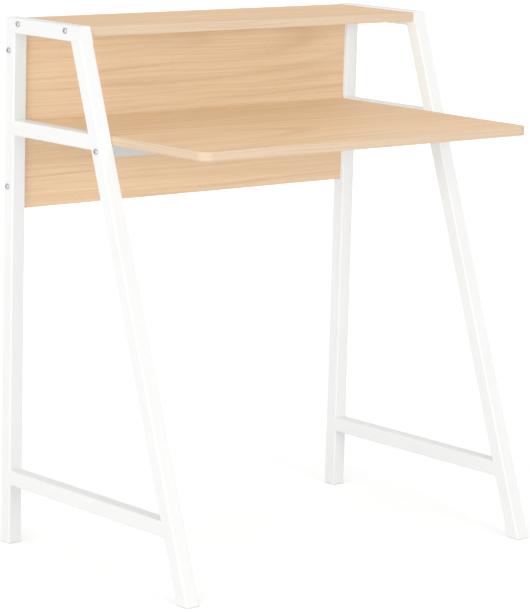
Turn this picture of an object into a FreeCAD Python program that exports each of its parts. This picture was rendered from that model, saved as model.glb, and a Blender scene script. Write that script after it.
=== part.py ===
# Writing desk with a raised shelf: two white tube side frames carry a desktop, a shelf and a back panel.
# Millimetres. The origin is on the floor at the middle of the footprint, +Z is up, the sitter faces +Y.
import FreeCAD, Part
import math
import os

Vector = FreeCAD.Vector

# Overall sizes
overall_width = 804.0       # over the outer faces of the side frames
overall_depth = 535.0       # rear face of the rear legs to the toe of the front feet
overall_height = 940.0      # floor to the top of the side frames
top_depth = 208.0           # rear face to the front of the side frame at its top
shelf_height = 178.0        # top of the rail beside the desktop up to the top of the rail beside the shelf
stretcher_top = 135.0       # top of the low stretcher between the legs

# Square steel tube
tube = 27.0
tube_wall = 1.5
tube_round = 2.5            # outer corner radius
crossbar = 20.0             # side of the tube under the desktop
crossbar_wall = 1.5
crossbar_round = 2.0
end_plate = 2.0             # plates that close the top rail's ends
plate_gap = 0.1             # weld gap round an inserted plate or plug

# Boards with glued edge bands
board = 16.0
band = 1.0
edge_round = 0.8
edge_round_share = 0.9      # largest rounding, as a share of the band's thickness
desktop_depth = 500.0
desktop_drop = 2.0          # desktop surface below the top of the desk rail
shelf_drop = 2.0            # shelf surface below the top of the top rail
desktop_gap = 0.5           # gap from the desktop to the rails, the legs and the back panel
desktop_corner = 22.0       # radius of the two front corners
back_panel_height = 318.0
back_panel_inset = 3.0      # rear face of the legs to the back of the panel and of the shelf

# Machine bolts through the side frames
bolt = 6.0
bolt_head = 10.5
bolt_head_height = 3.3
bolt_head_dome = 2.3        # rounding of the head's rim
bolt_socket = 4.0           # hexagon key size
bolt_socket_depth = 2.0
bolt_hole_gap = 0.3         # radial gap in the tube walls
board_hole_gap = 0.5        # radial gap in the boards
thread_gap = 0.05           # radial gap in a nut or a tapped plug
bolt_past_nut = 3.0         # bolt length past the nut or the plug

# Barrel nuts in the boards
nut = 10.0
nut_length = 12.0
nut_gap = 0.2
nut_inset = 27.0            # end of the board to the nut's axis
nut_slot = 1.2
nut_slot_depth = 1.0
shelf_bolt_inset = 34.0     # front or rear edge of the shelf to a bolt
panel_bolt_inset = 39.5     # top or bottom edge of the back panel to a bolt

# Crossbar fixings and desktop supports
crossbar_plug = 12.0        # length of the tapped plug in each end
crossbar_screw_pitch = 280.0
crossbar_screw_count = 3
tab = 3.0                   # thickness of the welded support tabs
tab_reach = 26.0
tab_length = 32.0
tab_round = 6.0
tab_inset = 35.0            # middle of a tab to the leg next to it, at the rail's underside
screw = 4.0
screw_head = 8.0
screw_head_height = 2.4
screw_head_dome = 1.4
screw_cross = 4.0           # span of the driver cross
screw_cross_width = 0.8
screw_cross_depth = 1.2
screw_tip = 1.0             # diameter at the point
screw_bite = 11.0           # depth in the desktop
screw_point = 4.0           # length of the tapered tip
screw_gap = 0.1             # radial gap in the desktop
screw_hole_gap = 0.5        # radial gap in the tabs and the crossbar

# Plastic feet plugged into the legs
foot_pad = 2.0
foot_insert = 20.0          # height of the plug inside the leg
foot_core_gap = 2.0         # plug core to the tube's inner wall
foot_rib = 1.5
foot_rib_count = 3

# Places worked out from the sizes above
rear = overall_depth / 2
toe = -overall_depth / 2
inner_half = overall_width / 2 - tube
top_front = rear - top_depth
slope = (top_front - toe) / overall_height
slant = math.sqrt(1 + slope ** 2)
leg_forward = Vector(0, -1, slope) / slant
rail_bottom = overall_height - tube
desk_rail_top = overall_height - shelf_height
panel_back = rear - back_panel_inset
panel_front = panel_back - board
shelf_top = overall_height - shelf_drop
panel_top = shelf_top - board
panel_bottom = panel_top - back_panel_height
desktop_top = desk_rail_top - desktop_drop
desktop_bottom = desktop_top - board
desktop_rear = panel_front - desktop_gap
desktop_front = desktop_rear - desktop_depth
desktop_half = inner_half - desktop_gap
crossbar_z = desktop_bottom - crossbar / 2


def leg_front(z):
    """Y of the slanted leg's front face at height z."""
    return toe + slope * z


def leg_rear(z):
    """Y of the slanted leg's rear face at height z."""
    return leg_front(z) + tube * slant


crossbar_y = (leg_front(crossbar_z) + leg_rear(crossbar_z)) / 2


def save(name, *solids):
    """Writes one node made of one or more separate solids."""
    shape = solids[0] if len(solids) == 1 else Part.makeCompound(solids)
    shape.exportStep(f"parts/{name}.step")


def upright_edges(shape):
    """Edges along Z."""
    return [edge for edge in shape.Edges if abs(edge.tangentAt(edge.FirstParameter).z) > 0.5]


def bar(start, end, side, radius):
    """Solid square bar between two points; its long edges are round if the radius is above zero."""
    run = end - start
    length = run.Length
    block = Part.makeBox(side, side, length, Vector(-side / 2, -side / 2, 0))
    if radius > 0:
        block = block.makeFillet(radius, upright_edges(block))
    block.Placement = FreeCAD.Placement(start, FreeCAD.Rotation(Vector(0, 0, 1), run))
    return block


def hollow(start, end, side, wall, radius):
    """Square tube between two points."""
    return bar(start, end, side, radius).cut(bar(start, end, side - 2 * wall, radius - wall))


def cut_beyond(shape, point, outward):
    """Cuts away all that lies past the plane through point which faces outward."""
    reach = 2 * overall_height
    block = Part.makeBox(2 * reach, 2 * reach, reach, Vector(-reach, -reach, 0))
    block.Placement = FreeCAD.Placement(point, FreeCAD.Rotation(Vector(0, 0, 1), outward))
    return shape.cut(block)


def rod(start, end, diameter):
    """Round rod between two points."""
    run = end - start
    return Part.makeCylinder(diameter / 2, run.Length, start, run)


def across(y, z, diameter):
    """Round cutter along X through the whole desk."""
    return rod(Vector(-overall_width, y, z), Vector(overall_width, y, z), diameter)


def turned(part, seat, outward):
    """Puts a part made along +Z on its seat, pointing outward."""
    part.Placement = FreeCAD.Placement(seat, FreeCAD.Rotation(Vector(0, 0, 1), outward))
    return part


# Bolt places as (y, z) pairs, the same on both sides
shelf_bolt_places = [
    (panel_back - shelf_bolt_inset, shelf_top - board / 2),
    (top_front + shelf_bolt_inset, shelf_top - board / 2),
]
panel_bolt_places = [
    (panel_back - board / 2, panel_top - panel_bolt_inset),
    (panel_back - board / 2, panel_bottom + panel_bolt_inset),
]
crossbar_bolt_places = [(crossbar_y, crossbar_z)]


def bolt_holes(shape, places):
    """Drills the bolt places through a tube."""
    for y, z in places:
        shape = shape.cut(across(y, z, bolt + 2 * bolt_hole_gap))
    return shape


# Side frames: five tubes each, cut to meet face to face
def rear_leg(x):
    middle = rear - tube / 2
    leg = hollow(Vector(x, middle, foot_pad), Vector(x, middle, rail_bottom), tube, tube_wall, tube_round)
    return bolt_holes(leg, panel_bolt_places)


def leg_axis(x, z):
    """Point on the slanted leg's axis at height z."""
    return Vector(x, (leg_front(z) + leg_rear(z)) / 2, z)


def front_leg(x):
    leg = hollow(leg_axis(x, -tube), leg_axis(x, overall_height), tube, tube_wall, tube_round)
    leg = cut_beyond(leg, Vector(x, 0, foot_pad), Vector(0, 0, -1))
    leg = cut_beyond(leg, Vector(x, 0, rail_bottom), Vector(0, 0, 1))
    return bolt_holes(leg, crossbar_bolt_places)


def top_rail(x):
    z = overall_height - tube / 2
    rail = hollow(Vector(x, rear, z), Vector(x, toe, z), tube, tube_wall, tube_round)
    rail = cut_beyond(rail, Vector(x, leg_front(z), z), leg_forward)
    return bolt_holes(rail, shelf_bolt_places)


def side_rail(x, top):
    """Rail between the rear leg and the slanted leg, with its top at the given height."""
    z = top - tube / 2
    rail = hollow(Vector(x, rear - tube, z), Vector(x, toe, z), tube, tube_wall, tube_round)
    return cut_beyond(rail, Vector(x, leg_rear(z), z), leg_forward)


def rail_end_plates(x):
    """Two plates, flush with the ends of the top rail, that close it."""
    z = overall_height - tube / 2
    inside = tube - 2 * tube_wall - 2 * plate_gap
    filling = bar(Vector(x, rear, z), Vector(x, toe, z), inside, tube_round - tube_wall)
    front_end = Vector(x, leg_front(z), z)
    rear_plate = cut_beyond(filling, Vector(x, rear - end_plate, z), Vector(0, -1, 0))
    front_plate = cut_beyond(filling, front_end, leg_forward)
    front_plate = cut_beyond(front_plate, front_end - leg_forward * end_plate, -leg_forward)
    return rear_plate, front_plate


def foot(low, high):
    """Floor pad and ribbed plug on a leg's axis, from low, under the floor, to high, above the plug."""
    def slice_of(side, radius, bottom, top):
        piece = bar(low, high, side, radius)
        piece = cut_beyond(piece, Vector(0, 0, bottom), Vector(0, 0, -1))
        return cut_beyond(piece, Vector(0, 0, top), Vector(0, 0, 1))

    inside = tube - 2 * tube_wall
    round_inside = tube_round - tube_wall
    plug_top = foot_pad + foot_insert
    piece = slice_of(tube, tube_round, 0, foot_pad)
    piece = piece.fuse(slice_of(inside - 2 * foot_core_gap, round_inside, foot_pad, plug_top))
    rib_pitch = foot_insert / foot_rib_count
    for index in range(foot_rib_count):
        rib_top = plug_top - index * rib_pitch
        piece = piece.fuse(slice_of(inside - 2 * plate_gap, round_inside, rib_top - foot_rib, rib_top))
    return piece.removeSplitter()


def support_tabs(side, x):
    """Two steel tabs welded to the inner face of a desk rail, under the desktop."""
    middles = (rear - tube - tab_inset, leg_rear(desktop_bottom) + tab_inset)
    tabs = []
    for y in middles:
        free_x = x - side * tab_reach
        low = Vector(min(x, free_x), y - tab_length / 2, desktop_bottom - tab)
        plate = Part.makeBox(tab_reach, tab_length, tab, low)
        corners = [edge for edge in upright_edges(plate) if abs(edge.CenterOfMass.x - free_x) < tab_reach / 2]
        plate = plate.makeFillet(tab_round, corners)
        tabs.append((plate, Vector(x - side * tab_reach / 2, y, desktop_bottom - tab)))
    return tabs


# Fasteners, made along +Z with the head outwards
def domed_head(diameter, height, dome):
    """Round head with its rim rounded."""
    head = Part.makeCylinder(diameter / 2, height)
    rim = [edge for edge in head.Edges if edge.isClosed() and edge.CenterOfMass.z > height / 2]
    return head.makeFillet(dome, rim)


def hex_bolt(length):
    """Button head bolt with a hexagon socket."""
    head = domed_head(bolt_head, bolt_head_height, bolt_head_dome)
    corner = bolt_socket / math.sqrt(3)
    floor = bolt_head_height - bolt_socket_depth
    turns = [math.pi / 3 * step for step in range(7)]
    hexagon = Part.makePolygon([Vector(corner * math.cos(a), corner * math.sin(a), floor) for a in turns])
    socket = Part.Face(hexagon).extrude(Vector(0, 0, bolt_socket_depth))
    shank = Part.makeCylinder(bolt / 2, length, Vector(0, 0, -length))
    return head.cut(socket).fuse(shank).removeSplitter()


def wood_screw(length):
    """Pan head screw with a tapered tip."""
    head = domed_head(screw_head, screw_head_height, screw_head_dome)
    shank = Part.makeCylinder(screw / 2, length - screw_point, Vector(0, 0, screw_point - length))
    tip = Part.makeCone(screw_tip / 2, screw / 2, screw_point, Vector(0, 0, -length))
    for span_x, span_y in ((screw_cross, screw_cross_width), (screw_cross_width, screw_cross)):
        low = Vector(-span_x / 2, -span_y / 2, screw_head_height - screw_cross_depth)
        head = head.cut(Part.makeBox(span_x, span_y, screw_cross_depth, low))
    return head.fuse(shank).fuse(tip).removeSplitter()


def barrel_nut(thread_axis):
    """Cylinder nut with its axis on Z, its thread along thread_axis and a slot in its lower end."""
    body = Part.makeCylinder(nut / 2, nut_length, Vector(0, 0, -nut_length / 2))
    thread = rod(thread_axis * -nut, thread_axis * nut, bolt + 2 * thread_gap)
    slot = Part.makeBox(2 * nut, nut_slot, nut_slot_depth, Vector(-nut, -nut_slot / 2, -nut_length / 2))
    return body.cut(thread).cut(slot)


def through_bolts(places, length):
    """Bolts through both side frames at the given places."""
    bolts = []
    for side in (-1, 1):
        for y, z in places:
            outward = Vector(side, 0, 0)
            bolts.append(turned(hex_bolt(length), Vector(side * overall_width / 2, y, z), outward))
    return bolts


def barrel_nuts(places, mouth):
    """Barrel nuts in both ends of a board, with their slotted ends towards the mouth of the hole."""
    nuts = []
    for side in (-1, 1):
        for y, z in places:
            seat = Vector(side * (inner_half - nut_inset), y, z)
            nuts.append(turned(barrel_nut(Vector(1, 0, 0)), seat, -mouth))
    return nuts


def drill_board_ends(shape, places, mouth):
    """Bolt bores in both ends of a board, and the blind nut bores that open on the mouth face."""
    bolt_depth = nut_inset + nut / 2 + bolt_past_nut + board_hole_gap
    for side in (-1, 1):
        for y, z in places:
            end = Vector(side * inner_half, y, z)
            centre = Vector(side * (inner_half - nut_inset), y, z)
            inward = Vector(-side, 0, 0)
            shape = shape.cut(rod(end - inward * bolt, end + inward * bolt_depth, bolt + 2 * board_hole_gap))
            floor = centre - mouth * (nut_length / 2 + nut_gap)
            shape = shape.cut(rod(floor, centre + mouth * board, nut + 2 * nut_gap))
    return shape


def front_corners(shape):
    """The two upright edges of a block that face the sitter."""
    return [edge for edge in upright_edges(shape) if edge.CenterOfMass.y < shape.CenterOfMass.y]


def board_pair(low, high, corner=0.0, along="z"):
    """Core and edge band of a board whose faces are square to along; corner rounds its two front corners."""
    span = high - low
    block = Part.makeBox(span.x, span.y, span.z, low)
    inset = Vector(band, band, 0) if along == "z" else Vector(band, 0, band)
    inner = span - inset * 2
    core = Part.makeBox(inner.x, inner.y, inner.z, low + inset)
    if corner:
        block = block.makeFillet(corner, front_corners(block))
        core = core.makeFillet(corner - band, front_corners(core))
    faces = (low.z, high.z) if along == "z" else (low.y, high.y)
    rims = []
    for edge in block.Edges:
        place = edge.BoundBox
        bottom, top = (place.ZMin, place.ZMax) if along == "z" else (place.YMin, place.YMax)
        if top - bottom < band / 2 and min(abs(bottom - face) for face in faces) < band / 2:
            rims.append(edge)
    return core, block.makeFillet(min(edge_round, edge_round_share * band), rims).cut(core)


os.makedirs("parts", exist_ok=True)

# The two side frames and their feet
hole = screw + 2 * screw_hole_gap
screw_seats = []
for side, name in ((-1, "left"), (1, "right")):
    x = side * (overall_width - tube) / 2
    save(f"{name}_rear_leg", rear_leg(x))
    save(f"{name}_front_leg", front_leg(x))
    save(f"{name}_top_rail", top_rail(x))
    save(f"{name}_desk_rail", side_rail(x, desk_rail_top))
    save(f"{name}_stretcher", side_rail(x, stretcher_top))
    save(f"{name}_rail_end_plates", *rail_end_plates(x))
    reach = foot_pad + foot_insert + tube
    save(f"{name}_rear_foot", foot(Vector(x, rear - tube / 2, -tube), Vector(x, rear - tube / 2, reach)))
    save(f"{name}_front_foot", foot(leg_axis(x, -tube), leg_axis(x, reach)))
    tabs = support_tabs(side, side * inner_half)
    up = Vector(0, 0, 2 * tab)
    save(f"{name}_desk_tabs", *[plate.cut(rod(seat, seat + up, hole)) for plate, seat in tabs])
    screw_seats += [seat for plate, seat in tabs]

# Crossbar between the slanted legs, with a tapped plug in each end
crossbar_start = Vector(-inner_half, crossbar_y, crossbar_z)
crossbar_end = Vector(inner_half, crossbar_y, crossbar_z)
crossbar_tube = hollow(crossbar_start, crossbar_end, crossbar, crossbar_wall, crossbar_round)
first_screw = -crossbar_screw_pitch * (crossbar_screw_count - 1) / 2
crossbar_seats = [
    Vector(first_screw + index * crossbar_screw_pitch, crossbar_y, crossbar_z - crossbar / 2)
    for index in range(crossbar_screw_count)
]
for seat in crossbar_seats:
    up = Vector(0, 0, crossbar)
    crossbar_tube = crossbar_tube.cut(rod(seat - up, seat + up * 2, hole))
save("crossbar", crossbar_tube)

plug_side = crossbar - 2 * crossbar_wall - 2 * plate_gap
plugs = []
for side in (-1, 1):
    mouth = Vector(side * inner_half, crossbar_y, crossbar_z)
    plug = bar(mouth, mouth - Vector(side * crossbar_plug, 0, 0), plug_side, crossbar_round - crossbar_wall)
    plugs.append(plug.cut(across(crossbar_y, crossbar_z, bolt + 2 * thread_gap)))
save("crossbar_plugs", *plugs)
save("crossbar_bolts", *through_bolts(crossbar_bolt_places, tube + crossbar_plug + bolt_past_nut))

# Top shelf between the top rails
down = Vector(0, 0, -1)
shelf_core, shelf_band = board_pair(
    Vector(-inner_half, top_front, panel_top), Vector(inner_half, panel_back, shelf_top))
save("top_shelf", drill_board_ends(shelf_core, shelf_bolt_places, down))
save("top_shelf_edge_band", drill_board_ends(shelf_band, shelf_bolt_places, down))
board_bolt_length = tube + nut_inset + nut / 2 + bolt_past_nut
save("shelf_bolts", *through_bolts(shelf_bolt_places, board_bolt_length))
save("shelf_barrel_nuts", *barrel_nuts(shelf_bolt_places, down))

# Back panel between the rear legs, under the shelf
back = Vector(0, 1, 0)
panel_core, panel_band = board_pair(
    Vector(-inner_half, panel_front, panel_bottom), Vector(inner_half, panel_back, panel_top), along="y")
save("back_panel", drill_board_ends(panel_core, panel_bolt_places, back))
save("back_panel_edge_band", drill_board_ends(panel_band, panel_bolt_places, back))
save("back_panel_bolts", *through_bolts(panel_bolt_places, board_bolt_length))
save("back_panel_barrel_nuts", *barrel_nuts(panel_bolt_places, back))

# Desktop, held from below by the tabs and the crossbar
desk_core, desk_band = board_pair(
    Vector(-desktop_half, desktop_front, desktop_bottom),
    Vector(desktop_half, desktop_rear, desktop_top), corner=desktop_corner)
for seat in screw_seats + crossbar_seats:
    pilot_end = Vector(seat.x, seat.y, desktop_bottom + screw_bite + screw_gap)
    desk_core = desk_core.cut(rod(seat, pilot_end, screw + 2 * screw_gap))
save("desktop", desk_core)
save("desktop_edge_band", desk_band)
save("tab_screws", *[turned(wood_screw(tab + screw_bite), seat, down) for seat in screw_seats])
long_screw = crossbar + screw_bite
save("crossbar_screws", *[turned(wood_screw(long_screw), seat, down) for seat in crossbar_seats])
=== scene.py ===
# %% [markdown]
# # A writing desk with a raised shelf
# Two side frames of white square tube hold three light oak boards: a desktop, a raised shelf and a back
# panel. The construction comes in as a fixed frame, with every piece at its real place. This lesson gives
# each piece its finished mesh and its finish, then sets the desk in a white studio.

import math

import bmesh
import bpy
from mathutils import Matrix, Vector


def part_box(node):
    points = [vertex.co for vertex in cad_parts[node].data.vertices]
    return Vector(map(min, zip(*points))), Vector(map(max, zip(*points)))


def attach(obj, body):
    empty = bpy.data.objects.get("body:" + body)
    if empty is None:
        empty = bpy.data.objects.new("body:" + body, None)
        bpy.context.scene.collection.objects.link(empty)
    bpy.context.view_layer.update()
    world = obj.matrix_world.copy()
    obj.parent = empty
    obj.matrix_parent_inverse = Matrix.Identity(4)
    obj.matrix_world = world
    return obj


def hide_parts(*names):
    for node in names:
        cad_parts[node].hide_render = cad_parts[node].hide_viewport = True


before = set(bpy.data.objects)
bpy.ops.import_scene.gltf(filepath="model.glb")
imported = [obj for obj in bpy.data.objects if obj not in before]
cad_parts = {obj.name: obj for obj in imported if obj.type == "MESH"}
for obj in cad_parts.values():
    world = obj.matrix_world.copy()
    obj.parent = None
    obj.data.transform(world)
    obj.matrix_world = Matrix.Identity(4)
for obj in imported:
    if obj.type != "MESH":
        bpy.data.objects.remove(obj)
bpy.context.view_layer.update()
scene = bpy.context.scene
print("nodes in the frame:", len(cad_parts))

# %% [markdown]
# ## The sizes that everything else follows
# A desk like this is drawn from a handful of sizes: the tube, the board, the slant of the front legs. The
# frame already holds them, so they are measured on its nodes and not typed again. Only what the frame
# doesn't tell, such as a wall or a small radius, is written here, in metres.

# %% Measure the desk
SIDES = {"left": -1, "right": 1}
tube_wall = 0.0015
tube_round = 0.0025
crossbar_wall = 0.0015
crossbar_round = 0.002
end_break = 0.0002        # softened rim at a tube's cut ends
inner_rim = 0.00005       # the same on the inside of a wall
weld_inset = 0.0015       # a weld stops this far from a tube's corner
weld_gap = 0.00002        # keeps a bead clear of the rounded edge above it
band = 0.001              # thickness of the edge bands
band_round = 0.0007       # rim of an edge band
desktop_corner = 0.022    # radius of the desktop's front corners

leg_low, leg_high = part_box("left_rear_leg")
tube = leg_high.x - leg_low.x
half_width = -leg_low.x
rear = leg_high.y
rail_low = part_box("left_top_rail")[0]
front_low, front_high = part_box("left_front_leg")
slope = (rail_low.y - front_low.y) / (rail_low.z - front_low.z)
slant = math.atan(slope)
leaning_tube = tube / math.cos(slant)
print(f"tube {tube * 1000:.1f} mm, front legs lean {math.degrees(slant):.2f} degrees")

# %% [markdown]
# ## A tree for everything that is a wall around an outline
# A square tube is a wall that runs round a rounded square. An edge band is a wall that runs round a board.
# Both could be cut from blocks, but sweeping the wall's own section round the outline gives clean quads and
# soft rims at once. So one Geometry Nodes tree makes the tubes of the frame and the bands of the boards.


# %% Helpers for node trees
def add(tree, kind, **values):
    """Adds a node, sets its properties and its unlinked inputs, and links the rest."""
    node = tree.nodes.new(kind)
    for key, value in values.items():
        if hasattr(node, key) and key != "inputs":
            setattr(node, key, value)
            continue
        socket = node.inputs[int(key[1:])] if key[0] == "i" and key[1:].isdigit() else node.inputs[key]
        if isinstance(value, bpy.types.NodeSocket):
            tree.links.new(value, socket)
        else:
            socket.default_value = value
    return node


def math_node(tree, operation, first, second=0.0, third=None):
    """Puts out the result of one sum."""
    node = add(tree, "ShaderNodeMath", operation=operation, i0=first, i1=second)
    if third is not None:
        if isinstance(third, bpy.types.NodeSocket):
            tree.links.new(third, node.inputs[2])
        else:
            node.inputs[2].default_value = third
    return node.outputs[0]


def new_tree(name, kind, inputs, outputs):
    """Starts a node group with named inputs and outputs."""
    tree = bpy.data.node_groups.new(name, kind)
    for socket_name, socket_kind in outputs.items():
        tree.interface.new_socket(socket_name, in_out="OUTPUT", socket_type=socket_kind)
    for socket_name, socket_kind in inputs.items():
        tree.interface.new_socket(socket_name, in_out="INPUT", socket_type=socket_kind)
    return tree, tree.nodes.new("NodeGroupInput"), tree.nodes.new("NodeGroupOutput")


# %% The wall tree
def wall_tree():
    """A wall of even thickness round a rectangle, standing on Z = 0, with slanted ends where asked."""
    number, geometry = "NodeSocketFloat", "NodeSocketGeometry"
    tree, given, result = new_tree("Wall round an outline", "GeometryNodeTree", {
        "Geometry": geometry, "Width": number, "Depth": number, "Height": number, "Wall": number,
        "Front radius": number, "Rear radius": number, "Rim radius": number,
        "Lower slope": number, "Upper slope": number, "Place": "NodeSocketVector", "Turn": "NodeSocketVector",
        "Material": "NodeSocketMaterial"}, {"Geometry": geometry})
    size = given.outputs
    outline = add(tree, "GeometryNodeCurvePrimitiveQuadrilateral", Width=size["Width"], Height=size["Depth"])
    corner = add(tree, "ShaderNodeSeparateXYZ", i0=add(tree, "GeometryNodeInputPosition").outputs[0])
    at_front = math_node(tree, "LESS_THAN", corner.outputs["Y"], 0.0)
    radius = add(tree, "ShaderNodeMix", Factor=at_front, A=size["Rear radius"], B=size["Front radius"])
    rounded = add(tree, "GeometryNodeFilletCurve", mode="POLY", Curve=outline.outputs[0], Count=10,
                  Radius=radius.outputs[0], **{"Limit Radius": True})
    section = add(tree, "GeometryNodeCurvePrimitiveQuadrilateral", Width=size["Wall"], Height=size["Height"])
    rim = add(tree, "ShaderNodeSeparateXYZ", i0=add(tree, "GeometryNodeInputPosition").outputs[0])
    at_outside = math_node(tree, "GREATER_THAN", rim.outputs["X"], 0.0)
    rim_radius = add(tree, "ShaderNodeMix", Factor=at_outside, A=inner_rim, B=size["Rim radius"])
    soft_section = add(tree, "GeometryNodeFilletCurve", mode="POLY", Curve=section.outputs[0], Count=4,
                       Radius=rim_radius.outputs[0], **{"Limit Radius": True})
    inward = add(tree, "ShaderNodeCombineXYZ", X=math_node(tree, "MULTIPLY", size["Wall"], -0.5),
                 Y=math_node(tree, "MULTIPLY", size["Height"], -0.5))
    seated = add(tree, "GeometryNodeTransform", Geometry=soft_section.outputs[0],
                 Translation=inward.outputs[0])
    wall = add(tree, "GeometryNodeCurveToMesh", Curve=rounded.outputs[0],
               **{"Profile Curve": seated.outputs[0]})
    place = add(tree, "ShaderNodeSeparateXYZ", i0=add(tree, "GeometryNodeInputPosition").outputs[0])
    middle = math_node(tree, "MULTIPLY", size["Height"], 0.5)
    upper = math_node(tree, "GREATER_THAN", place.outputs["Z"], middle)
    lean = add(tree, "ShaderNodeMix", Factor=upper, A=size["Lower slope"], B=size["Upper slope"])
    rise = math_node(tree, "MULTIPLY", lean.outputs[0], place.outputs["Y"])
    lift = add(tree, "ShaderNodeCombineXYZ", Z=rise)
    cut = add(tree, "GeometryNodeSetPosition", Geometry=wall.outputs[0], Offset=lift.outputs[0])
    turn = add(tree, "FunctionNodeEulerToRotation", i0=size["Turn"])
    placed = add(tree, "GeometryNodeTransform", Geometry=cut.outputs[0], Translation=size["Place"],
                 Rotation=turn.outputs[0])
    real = add(tree, "GeometryNodeRealizeInstances", Geometry=placed.outputs[0])
    finished = add(tree, "GeometryNodeSetMaterial", Geometry=real.outputs[0], Material=size["Material"])
    tree.links.new(finished.outputs[0], result.inputs[0])
    return tree


def run_tree(name, tree, values, start=None):
    """Runs a tree on an object and keeps the result as a plain mesh."""
    base = bpy.data.objects.new(name, start or bpy.data.meshes.new(name + "_seed"))
    scene.collection.objects.link(base)
    modifier = base.modifiers.new("shape", "NODES")
    modifier.node_group = tree
    sockets = {item.name: item.identifier for item in tree.interface.items_tree if item.in_out == "INPUT"}
    for key, value in values.items():
        modifier[sockets[key]] = value
    bpy.context.view_layer.update()
    graph = bpy.context.evaluated_depsgraph_get()
    mesh = bpy.data.meshes.new_from_object(base.evaluated_get(graph), depsgraph=graph)
    base.modifiers.remove(modifier)
    base.data = mesh
    mesh.name = name
    return base


WALL = wall_tree()
print("wall tree:", len(WALL.nodes), "nodes")

# %% [markdown]
# ## Where the fasteners go
# Bolts, nuts and screws decide where holes are drilled, so their places come first. The frame tells where
# they sit. A hole could be left out of each mesh by hand, but a Boolean with a cylinder does what a drill
# does: one call bores through a tube or into a board.

# %% Fastener places, read from the frame
QUARTER = math.pi / 2
bolt = 0.006
board_bolt_length = 0.062
crossbar_bolt_length = 0.042
nut = 0.010
screw = 0.004
screw_head_height = 0.0024
bolt_gap = 0.0003         # round a bolt in a tube
board_gap = 0.0005        # round a bolt in a board, or a screw in steel
nut_gap = 0.0002

low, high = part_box("crossbar_bolts")
bolt_head = high.z - low.z
crossbar_seats = [((low.y + high.y) / 2, (low.z + high.z) / 2)]
low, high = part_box("shelf_bolts")
shelf_seats = [(y, (low.z + high.z) / 2) for y in (low.y + bolt_head / 2, high.y - bolt_head / 2)]
low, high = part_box("back_panel_bolts")
panel_seats = [((low.y + high.y) / 2, z) for z in (low.z + bolt_head / 2, high.z - bolt_head / 2)]
low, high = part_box("shelf_barrel_nuts")
nut_length = high.z - low.z
nut_x = high.x - nut / 2
low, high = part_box("tab_screws")
tab_seats = [(side * (high.x - screw), y, low.z + screw_head_height)
             for side in SIDES.values() for y in (low.y + screw, high.y - screw)]
tab_screw_length = high.z - low.z - screw_head_height
low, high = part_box("crossbar_screws")
bar_seats = [(x, (low.y + high.y) / 2, low.z + screw_head_height)
             for x in (low.x + screw, (low.x + high.x) / 2, high.x - screw)]
bar_screw_length = high.z - low.z - screw_head_height
print("bolts per side:", len(crossbar_seats + shelf_seats + panel_seats))


# %% The drill
def drill(piece, holes):
    """Cuts round holes, each given by its mouth, its direction, its depth and its diameter."""
    cutter_shape = bmesh.new()
    for mouth, inward, depth, diameter in holes:
        turn = Vector((0, 0, 1)).rotation_difference(inward).to_matrix().to_4x4()
        made = bmesh.ops.create_cone(cutter_shape, cap_ends=True, segments=48, radius1=diameter / 2,
                                     radius2=diameter / 2, depth=2 * depth)
        bmesh.ops.transform(cutter_shape, matrix=Matrix.Translation(mouth) @ turn, verts=made["verts"])
    cutter_mesh = bpy.data.meshes.new("drill")
    cutter_shape.to_mesh(cutter_mesh)
    cutter_shape.free()
    cutter = bpy.data.objects.new("drill", cutter_mesh)
    scene.collection.objects.link(cutter)
    cut = piece.modifiers.new("holes", "BOOLEAN")
    cut.object = cutter
    cut.solver = "EXACT"
    cut.use_self = True
    bpy.context.view_layer.update()
    graph = bpy.context.evaluated_depsgraph_get()
    piece.data = bpy.data.meshes.new_from_object(piece.evaluated_get(graph), depsgraph=graph)
    piece.modifiers.clear()
    bpy.data.objects.remove(cutter)


def bolt_holes(seats, sides, depth, gap):
    """Holes for bolts that come in from the outer face of a side frame."""
    return [(Vector((side * half_width, y, z)), Vector((-side, 0, 0)), depth, bolt + 2 * gap)
            for side in sides for y, z in seats]


# %% [markdown]
# ## White powder coat
# Powder coat is a thin plastic skin baked on steel. It is even and satin, with a very fine orange peel that
# only shows where light grazes it. A flat white would look like paper, so a slow noise shifts the tone, and
# a fine one shifts the roughness and gives the peel as bump. The crossbar's coat is painted a little greyer
# than the frames', as painted shade for the desktop's shadow on it, so the coat is a function of two tones.


# %% Helpers for materials
def new_material(name):
    """A material with one plain surface, and the Object coordinates that its patterns read."""
    material = bpy.data.materials.new(name)
    material.use_nodes = True
    tree = material.node_tree
    tree.nodes.clear()
    surface = add(tree, "ShaderNodeBsdfPrincipled")
    tree.links.new(surface.outputs[0], add(tree, "ShaderNodeOutputMaterial").inputs["Surface"])
    return material, tree, surface, add(tree, "ShaderNodeTexCoord").outputs["Object"]


def noise(tree, vector, scale, detail=2.0, roughness=0.5):
    """Puts out a soft random value."""
    node = add(tree, "ShaderNodeTexNoise", Vector=vector, Scale=scale, Detail=detail, Roughness=roughness)
    return node.outputs[0]


def remap(tree, value, low, high, to_low, to_high):
    """Stretches a value from one range to another and keeps it there."""
    node = add(tree, "ShaderNodeMapRange", i0=value, i1=low, i2=high, i3=to_low, i4=to_high)
    return node.outputs[0]


def blend_colours(tree, factor, first, second):
    """Mixes two colours, each given as red, green and blue or as a link."""
    node = tree.nodes.new("ShaderNodeMix")
    node.data_type = "RGBA"
    for socket, value in ((node.inputs[0], factor), (node.inputs[6], first), (node.inputs[7], second)):
        if isinstance(value, bpy.types.NodeSocket):
            tree.links.new(value, socket)
        elif isinstance(value, tuple):
            socket.default_value = (*value, 1.0)
        else:
            socket.default_value = value
    return node.outputs[2]


def bump(tree, surface, height, distance, strength):
    """Gives a surface fine relief."""
    node = add(tree, "ShaderNodeBump", Height=height, Distance=distance, Strength=strength)
    tree.links.new(node.outputs[0], surface.inputs["Normal"])


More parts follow.
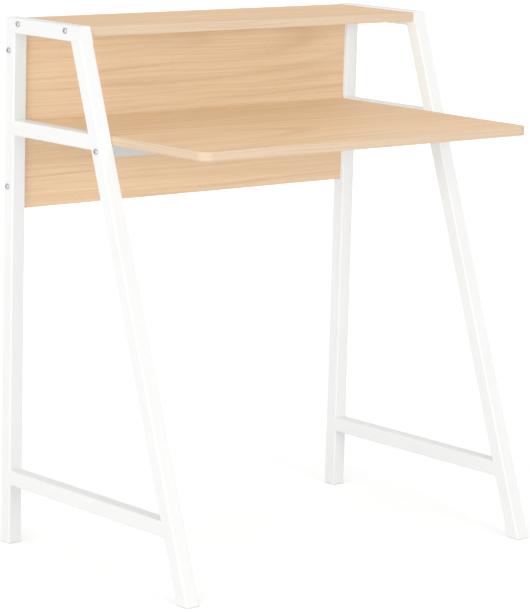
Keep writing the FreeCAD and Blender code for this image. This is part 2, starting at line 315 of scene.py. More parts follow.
# %% The powder coat
def powder_coat(name, deeper, paler):
    """Satin coat that drifts between two near tones."""
    material, tree, surface, place = new_material(name)
    cloud = noise(tree, place, 9.0, 3.0)
    peel = noise(tree, place, 700.0, 2.0)
    colour = blend_colours(tree, cloud, deeper, paler)
    tree.links.new(colour, surface.inputs["Base Color"])
    tree.links.new(remap(tree, peel, 0.3, 0.7, 0.36, 0.46), surface.inputs["Roughness"])
    surface.inputs["Specular IOR Level"].default_value = 0.45
    bump(tree, surface, peel, 0.00006, 0.35)
    return material


white_coat = powder_coat("white_powder_coat", (0.844, 0.844, 0.838), (0.878, 0.877, 0.870))
# painted shade: the crossbar's coat is greyer to stand in for the shadow of the desktop above it
shaded_crossbar_paint = powder_coat("grey_white_powder_coat", (0.615, 0.620, 0.625), (0.670, 0.675, 0.680))
print("made", white_coat.name, "and", shaded_crossbar_paint.name)

# %% [markdown]
# ## The welded side frames
# Each side frame is five square tubes: an upright rear leg, a slanted front leg and three rails. A
# fabricator cuts each tube to length, some with a slanted cut, and welds them face to face. The wall tree
# does the same: it makes a tube of the right length, leans its ends, then turns it into place. Where a cut
# end meets a rounded edge there would be a groove. On the real frame it is filled by the weld, which is
# ground flat before the coat, so each joint gets two small beads that end flush with the faces.


# %% Hand a piece to the frame
def finish_mesh(piece, node):
    """Smooths what is round, keeps what is flat, and hands the piece to the frame."""
    mesh = piece.data
    mesh.shade_smooth()
    mesh.set_sharp_from_angle(angle=math.radians(35))
    flatten = piece.modifiers.new("flat faces stay flat", "WEIGHTED_NORMAL")
    flatten.keep_sharp = True
    bpy.context.view_layer.update()
    graph = bpy.context.evaluated_depsgraph_get()
    piece.data = bpy.data.meshes.new_from_object(piece.evaluated_get(graph), depsgraph=graph)
    piece.data.name = piece.name
    piece.modifiers.clear()
    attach(piece, "root")
    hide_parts(node)
    return piece


# %% Weld beads
def add_bead(shape, start, inward, rise, run, steps=6):
    """One weld bead: it fills the groove under a rounded edge and ends flush with the outer face."""
    reach = tube_round + weld_gap
    last = math.acos(tube_round / reach)
    section = [start - end_break * rise, start + tube_round * inward - end_break * rise]
    for step in range(steps + 1):
        angle = QUARTER + (last - QUARTER) * step / steps
        across = tube_round - reach * math.cos(angle)
        up = tube_round - reach * math.sin(angle)
        section.append(start + across * inward + up * rise)
    near = [shape.verts.new(point) for point in section]
    far = [shape.verts.new(point + run) for point in section]
    faces = [shape.faces.new(near), shape.faces.new(far[::-1])]
    for index in range(len(near)):
        after = (index + 1) % len(near)
        faces.append(shape.faces.new((near[index], far[index], far[after], near[after])))
    bmesh.ops.recalc_face_normals(shape, faces=faces)


def weld(piece, joints):
    """Beads on both sides of a tube's end, each joint given by its start, its rise and its run."""
    shape = bmesh.new()
    shape.from_mesh(piece.data)
    for start, rise, run in joints:
        for way in (-1, 1):
            add_bead(shape, start + Vector((way * tube / 2, 0, 0)), Vector((-way, 0, 0)), rise, run)
    shape.to_mesh(piece.data)
    shape.free()


# %% Tubes
def square_tube(node, place, turn, length, lower=0.0, upper=0.0, holes=(), side=tube, wall=tube_wall,
                radius=tube_round, coat=white_coat, joints=()):
    """One tube of the frame, from its lower end at place along the turned Z axis."""
    piece = run_tree(node + "_tube", WALL, {
        "Width": side, "Depth": side, "Height": length, "Wall": wall, "Front radius": radius,
        "Rear radius": radius, "Rim radius": end_break, "Lower slope": lower, "Upper slope": upper,
        "Place": place, "Turn": turn, "Material": coat})
    if holes:
        drill(piece, holes)
    weld(piece, joints)
    return finish_mesh(piece, node)


UPRIGHT = (0.0, 0.0, 0.0)
LEANING = (-slant, 0.0, 0.0)
ALONG_Y = (-QUARTER, 0.0, 0.0)
ALONG_X = (0.0, QUARTER, 0.0)

UP = Vector((0, 0, 1))
BACK = Vector((0, 1, 0))
LEG_WAY = Vector((0, math.sin(slant), math.cos(slant)))
FORWARD = Vector((0, -math.cos(slant), math.sin(slant)))

leg_length = (front_high.z - front_low.z) / math.cos(slant)
foot_y = front_low.y + leaning_tube / 2
seam = tube - 2 * weld_inset
leaning_seam = leaning_tube - 2 * weld_inset
for name, side in SIDES.items():
    x = side * (half_width - tube / 2)
    rear_joint = (Vector((x, rear - tube + weld_inset, leg_high.z)), UP, BACK * seam)
    square_tube(f"{name}_rear_leg", (x, rear - tube / 2, leg_low.z), UPRIGHT, leg_high.z - leg_low.z,
                holes=bolt_holes(panel_seats, [side], 2 * tube, bolt_gap), joints=[rear_joint])
    front_joint = (Vector((x, rail_low.y + weld_inset, front_high.z)), UP, BACK * leaning_seam)
    square_tube(f"{name}_front_leg", (x, foot_y, front_low.z), LEANING, leg_length, slope, slope,
                bolt_holes(crossbar_seats, [side], 2 * tube, bolt_gap), joints=[front_joint])
    for rail, seats in (("top_rail", shelf_seats), ("desk_rail", []), ("stretcher", [])):
        low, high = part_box(f"{name}_{rail}")
        start = low.y + slope * tube / 2
        at_rear = (Vector((x, high.y, low.z + weld_inset)), BACK, UP * seam)
        at_front = (Vector((x, low.y + slope * weld_inset, low.z + weld_inset)), FORWARD,
                    LEG_WAY * seam / math.cos(slant))
        square_tube(f"{name}_{rail}", (x, start, (low.z + high.z) / 2), ALONG_Y, high.y - start, lower=-slope,
                    holes=bolt_holes(seats, [side], 2 * tube, bolt_gap),
                    joints=[] if rail == "top_rail" else [at_rear, at_front])

low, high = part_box("crossbar")
bar = high.z - low.z
# painted shade: the greyer coat stands in for the desktop's shadow on the crossbar
square_tube("crossbar", (low.x, (low.y + high.y) / 2, (low.z + high.z) / 2), ALONG_X, high.x - low.x,
            holes=[(Vector(seat), Vector((0, 0, 1)), 2 * bar, screw + 2 * board_gap) for seat in bar_seats],
            side=bar, wall=crossbar_wall, radius=crossbar_round, coat=shaded_crossbar_paint)
print("tubes made:", 5 * len(SIDES) + 1)

# %% [markdown]
# ## Light oak
# The boards show an oak figure: growth rings cut lengthwise, with fine fibres and pores between them. A
# picture of wood would be quick, but it would repeat and blur. A ring is a shell round the heart of the
# tree, so the distance from a slightly leaning heart line gives the long lines and the pointed arches that
# a sawn board has. The faces and the edge bands share this group, each with its own directions, so grain
# runs along every edge.


# %% The oak figure
def oak_group():
    """Ring, fibre, pore and tone masks of sawn oak, with the grain along X."""
    number, vector = "NodeSocketFloat", "NodeSocketVector"
    tree, given, result = new_tree("Oak figure", "ShaderNodeTree", {
        "Vector": vector, "Heart across": number, "Heart depth": number, "Heart lean": number,
        "Ring width": number}, {"Rings": number, "Fibres": number, "Pores": number, "Tone": number})
    size = given.outputs
    stretched = add(tree, "ShaderNodeMapping", Vector=size["Vector"], Scale=(2.2, 9.0, 9.0))
    sway = noise(tree, stretched.outputs[0], 1.0, 2.0)
    axes = add(tree, "ShaderNodeSeparateXYZ", i0=size["Vector"])
    wander = remap(tree, sway, 0.2, 0.8, -0.006, 0.006)
    from_heart = math_node(tree, "SUBTRACT", axes.outputs["Y"], size["Heart across"])
    across = math_node(tree, "ADD", from_heart, wander)
    depth = math_node(tree, "MULTIPLY_ADD", axes.outputs["X"], size["Heart lean"], size["Heart depth"])
    across_square = math_node(tree, "POWER", across, 2.0)
    depth_square = math_node(tree, "POWER", depth, 2.0)
    radius = math_node(tree, "SQRT", math_node(tree, "ADD", across_square, depth_square))
    along = add(tree, "ShaderNodeCombineXYZ", X=math_node(tree, "MULTIPLY", axes.outputs["X"], 1.6),
                Y=math_node(tree, "MULTIPLY", radius, 46.0))
    season = noise(tree, along.outputs[0], 1.0, 1.0)
    count = math_node(tree, "DIVIDE", radius, size["Ring width"])
    phase = math_node(tree, "MULTIPLY_ADD", season, 1.4, count)
    wave = math_node(tree, "SINE", math_node(tree, "MULTIPLY", phase, 2 * math.pi))
    year = math_node(tree, "POWER", math_node(tree, "MULTIPLY_ADD", wave, 0.5, 0.5), 4.0)
    weight = remap(tree, noise(tree, along.outputs[0], 2.3, 0.0), 0.40, 0.68, 0.12, 1.0)
    rings = math_node(tree, "MULTIPLY", year, weight)
    fineness = 230.0
    thread = add(tree, "ShaderNodeMapping", Vector=size["Vector"], Scale=(2.6, fineness, fineness))
    aside = add(tree, "ShaderNodeCombineXYZ", Y=math_node(tree, "MULTIPLY", wander, fineness))
    swayed = add(tree, "ShaderNodeVectorMath", operation="ADD", i0=thread.outputs[0], i1=aside.outputs[0])
    fibres = noise(tree, swayed.outputs[0], 1.0, 3.0, 0.65)
    dash = add(tree, "ShaderNodeMapping", Vector=size["Vector"], Scale=(70.0, 1500.0, 1500.0))
    pores = remap(tree, noise(tree, dash.outputs[0], 1.0, 1.0), 0.60, 0.72, 0.0, 1.0)
    slow = add(tree, "ShaderNodeMapping", Vector=size["Vector"], Scale=(1.5, 14.0, 14.0))
    tone = noise(tree, slow.outputs[0], 1.0, 2.0)
    for socket, value in (("Rings", rings), ("Fibres", fibres), ("Pores", pores), ("Tone", tone)):
        tree.links.new(value, result.inputs[socket])
    return tree


OAK = oak_group()
print("oak figure:", len(OAK.nodes), "nodes")

# %% [markdown]
# The finish mixes a light and a deep tone, darker rings and fine pores, and each board leans a little
# towards a tint of its own. These tints are painted shade that sets how bright each board renders: the
# honey tint darkens the flat tops against their grazing glare, the dusky tint the standing panel. Light
# that has already bounced off the wood is paler than real wood would make it. That keeps the white tubes
# white beside so much oak, as a product picture does, and Light Path tells which rays those are.

# %% Oak finishes
OAK_PALE = (0.950, 0.712, 0.472)
OAK_DEEP = (0.865, 0.605, 0.368)
OAK_RING = (0.710, 0.470, 0.270)
OAK_PORE = (0.570, 0.370, 0.210)
BAND_TINT = (0.500, 0.430, 0.365)
# painted shade: a tint per board darkens it, the flat tops against their grazing glare
PANEL_SHADE_TINT = (0.557, 0.363, 0.253)
TOP_SHADE_TINT = (0.715, 0.380, 0.160)
OAK_BOUNCE = (0.970, 0.930, 0.860)        # what other surfaces get back from the wood


def oak(name, axes, shift, heart, ring_width, share, tint):
    """Oak with axes along, across and through the grain, a heart for its arches, and a share of a tint."""
    material, tree, surface, place = new_material(name)
    reach = [add(tree, "ShaderNodeVectorMath", operation="DOT_PRODUCT", i0=place, i1=axis).outputs["Value"]
             for axis in axes]
    own = add(tree, "ShaderNodeCombineXYZ", X=reach[0], Y=reach[1], Z=reach[2])
    grain = add(tree, "ShaderNodeMapping", vector_type="POINT", Vector=own.outputs[0], Location=shift)
    figure = add(tree, "ShaderNodeGroup", node_tree=OAK)
    tree.links.new(grain.outputs[0], figure.inputs["Vector"])
    for socket, value in zip(("Heart across", "Heart depth", "Heart lean"), heart):
        figure.inputs[socket].default_value = value
    figure.inputs["Ring width"].default_value = ring_width
    masks = figure.outputs
    fibre = remap(tree, masks["Fibres"], 0.34, 0.66, -0.30, 1.15)
    tone = remap(tree, masks["Tone"], 0.25, 0.75, -0.35, 0.40)
    shade = math_node(tree, "ADD", fibre, tone)
    ground = blend_colours(tree, shade, OAK_PALE, OAK_DEEP)
    ringed = blend_colours(tree, math_node(tree, "MULTIPLY", masks["Rings"], 0.60), ground, OAK_RING)
    pored = blend_colours(tree, math_node(tree, "MULTIPLY", masks["Pores"], 0.30), ringed, OAK_PORE)
    # the share of the tint: painted shade on the boards, the band's colour on the edges
    tinted = blend_colours(tree, share, pored, tint)
    bounced = add(tree, "ShaderNodeLightPath").outputs["Is Diffuse Ray"]
    colour = blend_colours(tree, bounced, tinted, OAK_BOUNCE)
    tree.links.new(colour, surface.inputs["Base Color"])
    tree.links.new(remap(tree, shade, 0.0, 1.0, 0.50, 0.62), surface.inputs["Roughness"])
    surface.inputs["Specular IOR Level"].default_value = 0.18
    relief = math_node(tree, "SUBTRACT", masks["Fibres"], masks["Pores"])
    bump(tree, surface, relief, 0.00008, 0.30)
    return material


FLAT = ((1, 0, 0), (0, 1, 0), (0, 0, 1))
STANDING = ((1, 0, 0), (0, 0, 1), (0, -1, 0))
ROUND_FLAT = ((1, 1, 0), (0, 0, 1), (0, 0, 0))         # along the edges of a flat board
ROUND_STANDING = ((1, 0, 1), (0, 1, 0), (0, 0, 0))     # along the edges of a standing board
EDGE_HEART = (0.30, 0.10, 0.02)

# painted shade: the last two values are each board's share of its shade tint
oak_finishes = {
    "desktop": oak("oak_desktop", FLAT, (0.13, 0.31, 0.0), (0.22, 0.16, 0.05), 0.020, 0.20, TOP_SHADE_TINT),
    "top_shelf": oak("oak_shelf", FLAT, (1.70, 0.05, 0.0), (0.50, 0.16, 0.06), 0.018, 0.24, TOP_SHADE_TINT),
    "back_panel": oak("oak_panel", STANDING, (0.365, -0.885, 0.0), (0.0, 0.015, 0.06), 0.0215, 0.30, PANEL_SHADE_TINT),
}
edge_finishes = {
    "desktop": oak("oak_desktop_edge", ROUND_FLAT, (0.3, 0.2, 0.1), EDGE_HEART, 0.006, 0.45, BAND_TINT),
    "top_shelf": oak("oak_shelf_edge", ROUND_FLAT, (0.9, 0.7, 0.1), EDGE_HEART, 0.006, 0.45, BAND_TINT),
    "back_panel": oak("oak_panel_edge", ROUND_STANDING, (0.5, 0.4, 0.2), EDGE_HEART, 0.006, 0.35, BAND_TINT),
}
print("oak finishes:", len(oak_finishes) + len(edge_finishes))

# %% [markdown]
# ## The three boards
# A board is a core with thin bands glued round its edges. The band is the wall tree again, run round the
# board's outline, with only its outer rims rounded. The core is an outline pushed up by the board's
# thickness, then drilled for the bolts and the barrel nuts that pull the frames against its ends.


# %% Edge bands and cores
def edge_band(board, holes=(), upright=False, corner=band_round):
    """The band round one board, standing for the band's node."""
    low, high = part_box(board + "_edge_band")
    span = high - low
    middle = (low + high) / 2
    depth, thickness = (span.z, span.y) if upright else (span.y, span.z)
    place = (middle.x, high.y, middle.z) if upright else (middle.x, middle.y, low.z)
    turn = (QUARTER, 0.0, 0.0) if upright else UPRIGHT
    piece = run_tree(board + "_band", WALL, {
        "Width": span.x, "Depth": depth, "Height": thickness, "Wall": band, "Front radius": corner,
        "Rear radius": band_round, "Rim radius": band_round, "Lower slope": 0.0, "Upper slope": 0.0,
        "Place": place, "Turn": turn, "Material": edge_finishes[board]})
    if holes:
        drill(piece, holes)
    return finish_mesh(piece, board + "_edge_band")


def outline_points(low, high, corner, steps=24):
    """A rectangle seen from above, anticlockwise, with its two front corners rounded."""
    if not corner:
        return [(low.x, low.y), (high.x, low.y), (high.x, high.y), (low.x, high.y)]
    points = []
    for centre_x, start in ((low.x + corner, math.pi), (high.x - corner, 1.5 * math.pi)):
        for step in range(steps + 1):
            angle = start + QUARTER * step / steps
            points.append((centre_x + corner * math.cos(angle), low.y + corner + corner * math.sin(angle)))
    return points + [(high.x, high.y), (low.x, high.y)]


def core_mesh(name, low, high, corner=0.0):
    """The board's core as a closed block."""
    shape = bmesh.new()
    floor = shape.faces.new([shape.verts.new((x, y, low.z)) for x, y in outline_points(low, high, corner)])
    floor.normal_flip()
    raised = bmesh.ops.extrude_face_region(shape, geom=[floor], use_keep_orig=True)["geom"]
    moved = [item for item in raised if isinstance(item, bmesh.types.BMVert)]
    bmesh.ops.translate(shape, verts=moved, vec=(0, 0, high.z - low.z))
    bmesh.ops.recalc_face_normals(shape, faces=shape.faces)
    mesh = bpy.data.meshes.new(name)
    shape.to_mesh(mesh)
    shape.free()
    return mesh


# %% Drilled boards
def board_core(board, holes=(), corner=0.0):
    """One drilled core, standing for the board's node."""
    low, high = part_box(board)
    piece = bpy.data.objects.new(board + "_core", core_mesh(board + "_core", low, high, corner))
    scene.collection.objects.link(piece)
    piece.data.materials.append(oak_finishes[board])
    if holes:
        drill(piece, holes)
    return finish_mesh(piece, board)


def nut_holes(seats, mouth):
    """Blind holes for the barrel nuts, from the board's hidden face."""
    depth = mouth.length + nut_length / 2 + nut_gap
    return [(Vector((side * nut_x, y, z)) + mouth, -mouth.normalized(), depth, nut + 2 * nut_gap)
            for side in SIDES.values() for y, z in seats]


low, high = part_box("top_shelf")
half_board = (high.z - low.z) / 2
shelf_bores = bolt_holes(shelf_seats, SIDES.values(), board_bolt_length + board_gap, board_gap)
panel_bores = bolt_holes(panel_seats, SIDES.values(), board_bolt_length + board_gap, board_gap)
desktop_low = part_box("desktop")[0]
screw_ends = [(x, y, z + tab_screw_length) for x, y, z in tab_seats]
screw_ends += [(x, y, z + bar_screw_length) for x, y, z in bar_seats]
pilots = [(Vector((x, y, desktop_low.z)), Vector((0, 0, 1)), z + board_gap - desktop_low.z, screw + nut_gap)
          for x, y, z in screw_ends]
edge_band("desktop", corner=desktop_corner)
edge_band("top_shelf", shelf_bores)
edge_band("back_panel", panel_bores, upright=True)
board_core("desktop", pilots, desktop_corner - band)
board_core("top_shelf", shelf_bores + nut_holes(shelf_seats, Vector((0, 0, -half_board))))
board_core("back_panel", panel_bores + nut_holes(panel_seats, Vector((0, half_board, 0))))
print("boards made: 3 cores and 3 bands")

# %% [markdown]
# ## Bolts, barrel nuts and screws
# Button head bolts with a hexagon socket pull each frame against the shelf, the back panel and the crossbar.
# In the boards they end in barrel nuts, and screws hold the desktop from below. A fastener could be a few
# joined cylinders, but most of them are turned parts, so they are turned here too, ring by ring, and a drive
# is a ring that follows a hexagon, a cross or a slot. A second tree then sets copies on their seats and spins
# the bolts and the screws a little, because no fitter lines them up. Zinc plate is mottled and finely
# scratched, which breaks its reflections.


# %% Zinc plating
def plating_group():
    """Soft mottle and fine scratches of zinc plate."""
    tree, given, result = new_tree("Zinc mottle", "ShaderNodeTree", {
        "Vector": "NodeSocketVector", "Grain": "NodeSocketFloat"},
        {"Mottle": "NodeSocketFloat", "Scratch": "NodeSocketFloat"})
    place = given.outputs["Vector"]
    mottle = add(tree, "ShaderNodeTexNoise", Vector=place, Scale=given.outputs["Grain"], Detail=3.0)
    lines = add(tree, "ShaderNodeMapping", Vector=place, Scale=(400.0, 4000.0, 4000.0))
    scratch = add(tree, "ShaderNodeTexNoise", Vector=lines.outputs[0], Scale=1.0, Detail=1.0)
    tree.links.new(mottle.outputs[0], result.inputs["Mottle"])
    tree.links.new(scratch.outputs[0], result.inputs["Scratch"])
    return tree


PLATING = plating_group()


def zinc(name, dull, bright, rough):
    """Zinc plated steel between a dull and a bright tone."""
    material, tree, surface, place = new_material(name)
    plate = add(tree, "ShaderNodeGroup", node_tree=PLATING)
    tree.links.new(place, plate.inputs["Vector"])
    plate.inputs["Grain"].default_value = 380.0
    colour = blend_colours(tree, remap(tree, plate.outputs["Mottle"], 0.3, 0.7, 0.0, 1.0), dull, bright)
    tree.links.new(colour, surface.inputs["Base Color"])
    worn = remap(tree, plate.outputs["Scratch"], 0.3, 0.7, rough, rough + 0.14)
    tree.links.new(worn, surface.inputs["Roughness"])
    surface.inputs["Metallic"].default_value = 1.0
    bump(tree, surface, plate.outputs["Scratch"], 0.00002, 0.25)
    return material


bolt_zinc = zinc("zinc_bolt_finish", (0.44, 0.45, 0.46), (0.58, 0.59, 0.60), 0.20)
nut_zinc = zinc("zinc_nut_finish", (0.50, 0.50, 0.49), (0.66, 0.66, 0.64), 0.32)
screw_zinc = zinc("zinc_screw_finish", (0.52, 0.52, 0.51), (0.68, 0.68, 0.67), 0.28)
print("zinc finishes:", bolt_zinc.name, nut_zinc.name, screw_zinc.name)


# %% Outlines of rings
TURN_STEPS = 64


def round_radius(size, angle):
    """Distance to the rim of a plain round ring."""
    return size


def hexagon_radius(size, angle):
    """Distance to the side of a hexagon with size across its flats."""
    return size / 2 / math.cos((angle + math.pi / 6) % (math.pi / 3) - math.pi / 6)


def cross_radius(size, angle):
    """Distance to the rim of a driver cross that spans size, with arms a fifth as wide."""
    folded = abs((angle + math.pi / 4) % (math.pi / 2) - math.pi / 4)
    arm = size / 10
    end_reach = size / 2 / math.cos(folded)
    side_reach = arm / math.sin(folded) if folded > 0.01 else end_reach
    return min(end_reach, side_reach)


def slot_radius(size, angle):
    """Distance to the rim of a driver slot that is size long."""
    half_slot = 0.0006
    rise = abs(math.sin(angle))
    return min(size / 2, half_slot / rise) if rise > 0.01 else size / 2


# %% Turned shapes
def turned(name, rings):
    """A closed shape from rings of (outline, size, height), from its first pole to its last."""
    shape = bmesh.new()
    angles = [2 * math.pi * step / TURN_STEPS for step in range(TURN_STEPS)]
    loops = []
    for outline, size, height in rings:
        loop = []
        for angle in angles:
            reach = outline(size, angle)
            loop.append(shape.verts.new((reach * math.cos(angle), reach * math.sin(angle), height)))
        loops.append(loop)
    for inner, outer in zip(loops, loops[1:]):
        for step in range(TURN_STEPS):
            after = (step + 1) % TURN_STEPS
            shape.faces.new((inner[step], outer[step], outer[after], inner[after]))
    shape.faces.new(loops[0])
    shape.faces.new(loops[-1][::-1])
    bmesh.ops.recalc_face_normals(shape, faces=shape.faces)
    mesh = bpy.data.meshes.new(name)
    shape.to_mesh(mesh)
    shape.free()
    mesh.shade_smooth()
    mesh.set_sharp_from_angle(angle=math.radians(40))
    return bpy.data.objects.new(name, mesh)


def dome(radius, flat, foot, top, steps=8):
    """Rings of a rounded rim from the flat top out and down to the foot's height."""
    rings = []
    for step in range(steps + 1):
        angle = QUARTER * step / steps
        reach = flat + (radius - flat) * math.sin(angle)
        rings.append((round_radius, reach, foot + (top - foot) * math.cos(angle)))
    return rings


# %% Bolts, screws and nuts
def button_bolt(name, length):
    """Bolt along +Z with its head's seat at Z = 0."""
    head, dome_foot, socket, socket_depth, chamfer = 0.0033, 0.0010, 0.004, 0.002, 0.0007
    rim, flare, flare_depth, drill_point = 0.0023, 0.0005, 0.0003, 0.0004
    rings = [(hexagon_radius, socket * 0.2, head - socket_depth - drill_point),
             (hexagon_radius, socket, head - socket_depth), (hexagon_radius, socket, head - flare_depth),
             (hexagon_radius, socket + flare, head)]
    rings += dome(bolt_head / 2, bolt_head / 2 - rim, dome_foot, head)
    rings += [(round_radius, bolt_head / 2, 0.0), (round_radius, bolt / 2, 0.0),
              (round_radius, bolt / 2, chamfer - length), (round_radius, bolt / 2 - chamfer, -length)]
    return turned(name, rings)


def pan_screw(name, length):
    """Wood screw along +Z with its head's seat at Z = 0."""
    head, dome_foot, cross, cross_depth, point = screw_head_height, 0.0010, 0.004, 0.0012, 0.004
    rim, tip = 0.0014, 0.0005
    rings = [(cross_radius, cross * 0.45, head - cross_depth),
             (cross_radius, cross * 0.8, head - cross_depth), (cross_radius, cross, head)]
    rings += dome(screw, screw - rim, dome_foot, head)
    rings += [(round_radius, screw, 0.0), (round_radius, screw / 2, 0.0),
              (round_radius, screw / 2, point - length), (round_radius, tip, -length)]
    return turned(name, rings)


def barrel_nut(name):
    """Barrel nut along Z with a driver slot in its upper end."""
    edge, half, slot, slot_floor, slot_depth = 0.0005, nut_length / 2, 0.008, 0.007, 0.0010
    rings = [(slot_radius, slot_floor, half - slot_depth), (slot_radius, slot, half - slot_depth),
             (slot_radius, slot, half)]
    rings += [(round_radius, nut / 2 - edge, half), (round_radius, nut / 2, half - edge),
              (round_radius, nut / 2, edge - half), (round_radius, nut / 2 - edge, -half)]
    piece = turned(name, rings)
    scene.collection.objects.link(piece)
    drill(piece, [(Vector((0, 0, 0)), Vector((1, 0, 0)), nut, bolt + bolt_gap)])
    scene.collection.objects.unlink(piece)
    return piece


# %% The seats tree
def seats_tree():
    """Copies of one fastener on seats that know which way is out."""
    tree, given, result = new_tree("Fasteners on seats", "GeometryNodeTree", {
        "Geometry": "NodeSocketGeometry", "Fastener": "NodeSocketObject", "Largest spin": "NodeSocketFloat",
        "Seed": "NodeSocketInt", "Material": "NodeSocketMaterial"}, {"Geometry": "NodeSocketGeometry"})
    size = given.outputs
    out = add(tree, "GeometryNodeInputNamedAttribute", data_type="FLOAT_VECTOR", Name="outward")
    facing = add(tree, "FunctionNodeAlignRotationToVector", axis="Z", Vector=out.outputs[0])
    shape = add(tree, "GeometryNodeObjectInfo", Object=size["Fastener"])
    points = add(tree, "GeometryNodeMeshToPoints", Mesh=size["Geometry"])
    copies = add(tree, "GeometryNodeInstanceOnPoints", Points=points.outputs[0],
                 Instance=shape.outputs["Geometry"], Rotation=facing.outputs[0])
    number = add(tree, "GeometryNodeInputIndex").outputs[0]
    spin = add(tree, "FunctionNodeRandomValue", data_type="FLOAT", Seed=size["Seed"], ID=number)
    tree.links.new(size["Largest spin"], spin.inputs[3])
    turn = add(tree, "ShaderNodeCombineXYZ", Z=spin.outputs[1])
    euler = add(tree, "FunctionNodeEulerToRotation", i0=turn.outputs[0])
    spun = add(tree, "GeometryNodeRotateInstances", Instances=copies.outputs[0], Rotation=euler.outputs[0])
    spun.inputs["Local Space"].default_value = True
    real = add(tree, "GeometryNodeRealizeInstances", Geometry=spun.outputs[0])
    finished = add(tree, "GeometryNodeSetMaterial", Geometry=real.outputs[0], Material=size["Material"])
    tree.links.new(finished.outputs[0], result.inputs[0])
    return tree


SEATS = seats_tree()
print("seats tree:", len(SEATS.nodes), "nodes")


def fasten(node, finish, fastener, seats, spin, seed):
    """Sets one kind of fastener on its seats and lets it stand for its node."""
    mesh = bpy.data.meshes.new(node + "_seats")
    mesh.from_pydata([seat for seat, outward in seats], [], [])
    outward = mesh.attributes.new("outward", "FLOAT_VECTOR", "POINT")
    for index, (seat, direction) in enumerate(seats):
        outward.data[index].vector = direction
    piece = run_tree(node + "_set", SEATS, {
        "Fastener": fastener, "Largest spin": spin, "Seed": seed, "Material": finish}, mesh)
    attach(piece, "root")
    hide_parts(node)
    return piece


def side_seats(places, x):
    """Seats on both side frames, facing outwards."""
    return [((side * x, y, z), (side, 0, 0)) for side in SIDES.values() for y, z in places]


# %% Set the fasteners
board_bolt = button_bolt("board_bolt", board_bolt_length)
short_bolt = button_bolt("short_bolt", crossbar_bolt_length)
sixth = math.pi / 3
shelf_places = side_seats(shelf_seats, half_width)
panel_places = side_seats(panel_seats, half_width)
crossbar_places = side_seats(crossbar_seats, half_width)
fasten("shelf_bolts", bolt_zinc, board_bolt, shelf_places, sixth, 3)
fasten("back_panel_bolts", bolt_zinc, board_bolt, panel_places, sixth, 5)
fasten("crossbar_bolts", bolt_zinc, short_bolt, crossbar_places, sixth, 8)
under = [((side * nut_x, y, z), (0, 0, -1)) for side in SIDES.values() for y, z in shelf_seats]
behind = [((side * nut_x, y, z), (0, 1, 0)) for side in SIDES.values() for y, z in panel_seats]
loose_nut = barrel_nut("loose_nut")
fasten("shelf_barrel_nuts", nut_zinc, loose_nut, under, 0.0, 1)
fasten("back_panel_barrel_nuts", nut_zinc, loose_nut, behind, 0.0, 1)

down = (0, 0, -1)
tab_screw = pan_screw("tab_screw", tab_screw_length)
bar_screw = pan_screw("bar_screw", bar_screw_length)
tab_places = [(seat, down) for seat in tab_seats]
bar_places = [(seat, down) for seat in bar_seats]
fasten("tab_screws", screw_zinc, tab_screw, tab_places, QUARTER, 2)
fasten("crossbar_screws", screw_zinc, bar_screw, bar_places, QUARTER, 6)
print("fasteners set: 10 bolts, 8 barrel nuts, 7 screws")

# %% [markdown]
# ## Small pieces that keep their drawn shape
# The end plates, the support tabs, the plugs and the feet are right as drawn, so they only get their
# finish. The feet are pale moulded plastic with a fine spark grain, duller than the paint above them.


# %% Feet, plates, tabs and plugs
def moulded_plastic():
    """Pale plastic with the fine grain of a spark-eroded mould."""
    material, tree, surface, place = new_material("pale_plastic")
    spark = noise(tree, place, 1400.0, 2.0)
    cloud = noise(tree, place, 30.0, 2.0)
    colour = blend_colours(tree, cloud, (0.70, 0.70, 0.69), (0.78, 0.78, 0.77))
    tree.links.new(colour, surface.inputs["Base Color"])
    tree.links.new(remap(tree, spark, 0.3, 0.7, 0.52, 0.66), surface.inputs["Roughness"])
    bump(tree, surface, spark, 0.00004, 0.4)
    return material


def dress(node, finish):
    """Gives a drawn node its finish."""
    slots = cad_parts[node].data.materials
    slots.clear()
    slots.append(finish)


foot_plastic = moulded_plastic()
for name in SIDES:
    dress(f"{name}_rail_end_plates", white_coat)
    dress(f"{name}_desk_tabs", white_coat)
    dress(f"{name}_rear_foot", foot_plastic)
    dress(f"{name}_front_foot", foot_plastic)
dress("crossbar_plugs", nut_zinc)
print("drawn nodes dressed:", 4 * len(SIDES) + 1)

# %% [markdown]
# ## The studio
# The desk stands in an even white studio: a pale floor without a horizon, a sky that is brightest overhead
# and at the left, and three lamps. A wide key and a fill stand to the left. A small lamp stands straight in
# front of the left frame, so its front leg shades its rear leg, as in the photo. More light would turn the
# background white, but it would also wash out the white tubes. So the floor and the sky are brighter only
# for rays that go to the camera or come from a reflection, and the floor stays dim enough beside the desk
# to take its shadow.


# %% Floor
def background_rays(tree):
    """One for rays that show the background, straight, in a reflection or through something clear."""
    rays = add(tree, "ShaderNodeLightPath").outputs
    passed_on = math_node(tree, "MAXIMUM", rays["Is Glossy Ray"], rays["Is Transmission Ray"])
    return math_node(tree, "MAXIMUM", rays["Is Camera Ray"], passed_on)


def studio_floor():
    """Pale floor with a glow that grows away from the desk, so only the shadow at the feet shows."""
    material, tree, surface, place = new_material("studio_floor")
    cloud = noise(tree, place, 0.6, 2.0)
    colour = blend_colours(tree, cloud, (0.86, 0.86, 0.86), (0.88, 0.88, 0.88))
    tree.links.new(colour, surface.inputs["Base Color"])
    surface.inputs["Roughness"].default_value = 0.95
    surface.inputs["Specular IOR Level"].default_value = 0.0
    surface.inputs["Emission Color"].default_value = (1, 1, 1, 1)
    distance = add(tree, "ShaderNodeVectorMath", operation="LENGTH", i0=place).outputs["Value"]
    glow = remap(tree, distance, near_reach, far_reach, glow_near, glow_far)
    shown = math_node(tree, "MULTIPLY", background_rays(tree), glow)
    tree.links.new(shown, surface.inputs["Emission Strength"])
    return material


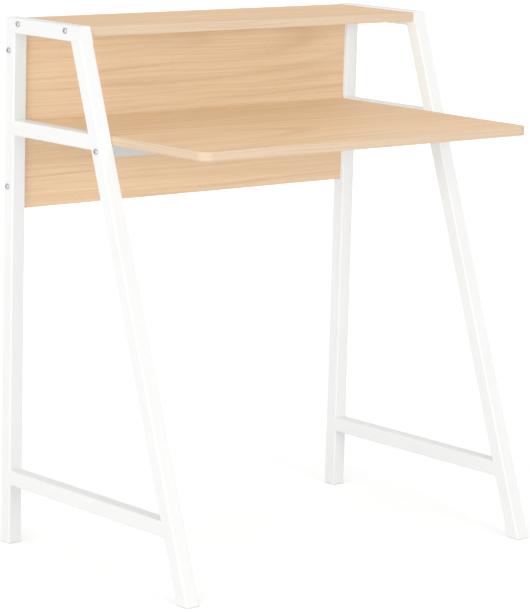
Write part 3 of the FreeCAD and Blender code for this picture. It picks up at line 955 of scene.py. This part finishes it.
near_reach = 0.8          # the floor's glow starts to grow here
far_reach = 2.5
glow_near = 0.26
glow_far = 0.50
floor_reach = 40.0
floor_drop = 0.0002       # keeps the floor clear of the feet
floor_shape = bmesh.new()
bmesh.ops.create_grid(floor_shape, x_segments=4, y_segments=4, size=floor_reach)
bmesh.ops.translate(floor_shape, verts=floor_shape.verts, vec=(0, 0, -floor_drop))
floor_mesh = bpy.data.meshes.new("floor")
floor_shape.to_mesh(floor_mesh)
floor_shape.free()
floor_mesh.materials.append(studio_floor())
floor = bpy.data.objects.new("floor", floor_mesh)
scene.collection.objects.link(floor)
print("floor:", 2 * floor_reach, "m wide")

# %% World
sky_front = 0.81
sky_back = 0.33
sky_top = 0.95
front_wall = (-0.85, -0.53, 0.0)
world = bpy.data.worlds.new("studio")
scene.world = world
world.use_nodes = True
sky = world.node_tree
sky.nodes.clear()
direction = add(sky, "ShaderNodeTexCoord").outputs["Object"]
frontal = add(sky, "ShaderNodeVectorMath", operation="DOT_PRODUCT", i0=direction, i1=front_wall)
wall_level = remap(sky, frontal.outputs["Value"], -1.0, 1.0, sky_back, sky_front)
height = add(sky, "ShaderNodeSeparateXYZ", i0=direction).outputs["Z"]
climb = math_node(sky, "MAXIMUM", height, 0.0)
level = add(sky, "ShaderNodeMix", Factor=climb, A=wall_level, B=sky_top)
glow = add(sky, "ShaderNodeMix", Factor=background_rays(sky), A=level.outputs[0], B=1.0)
ambient = add(sky, "ShaderNodeBackground", Color=(1, 1, 1, 1), Strength=glow.outputs[0])
sky.links.new(ambient.outputs[0], add(sky, "ShaderNodeOutputWorld").inputs["Surface"])
print("sky levels, front, back and top:", sky_front, sky_back, sky_top)


# %% Lamps
def softbox(name, place, aim, width, height, power):
    """A rectangular lamp that faces its aim."""
    data = bpy.data.lights.new(name, "AREA")
    data.shape = "RECTANGLE"
    data.size = width
    data.size_y = height
    data.energy = power
    lamp = bpy.data.objects.new(name, data)
    lamp.location = place
    lamp.rotation_euler = (Vector(aim) - Vector(place)).to_track_quat("-Z", "Y").to_euler()
    scene.collection.objects.link(lamp)


desk_middle = (0, 0, 0.5)
softbox("key", (-8.77, -3.90, 1.55), desk_middle, 7.0, 2.6, 180.0)
softbox("fill", (-7.13, -3.17, 2.40), desk_middle, 6.0, 3.0, 73.0)
softbox("front", (-0.39, -5.50, 1.50), desk_middle, 1.15, 1.0, 55.0)
print("lamps:", len(bpy.data.lights))

# %% [markdown]
# ## The camera
# A product picture is taken from far off with a long lens, so upright legs stay almost upright. The camera
# aims at the middle of the desk from the front left, a little above, and is rolled by 1.5 degrees.

# %% Camera
camera_aim = Vector((0.0381, 0.0677, 0.4165))
camera_distance = 5.3535
camera_azimuth = math.radians(-40.618)
camera_elevation = math.radians(10.371)
camera_roll = math.radians(-1.532)
level_reach = math.cos(camera_elevation)
towards = Vector((math.sin(camera_azimuth) * level_reach, -math.cos(camera_azimuth) * level_reach,
                  math.sin(camera_elevation)))
lens = bpy.data.cameras.new("camera")
lens.sensor_width = 36.0
lens.lens = 173.52
lens.clip_end = 200.0
camera = bpy.data.objects.new("camera", lens)
camera.location = camera_aim + towards * camera_distance
upright_view = (-towards).to_track_quat("-Z", "Y").to_matrix()
camera.rotation_euler = (upright_view @ Matrix.Rotation(-camera_roll, 3, "Z")).to_euler()
scene.collection.objects.link(camera)
scene.camera = camera
scene.view_settings.view_transform = "Standard"
print("camera at", [round(value, 3) for value in camera.location])
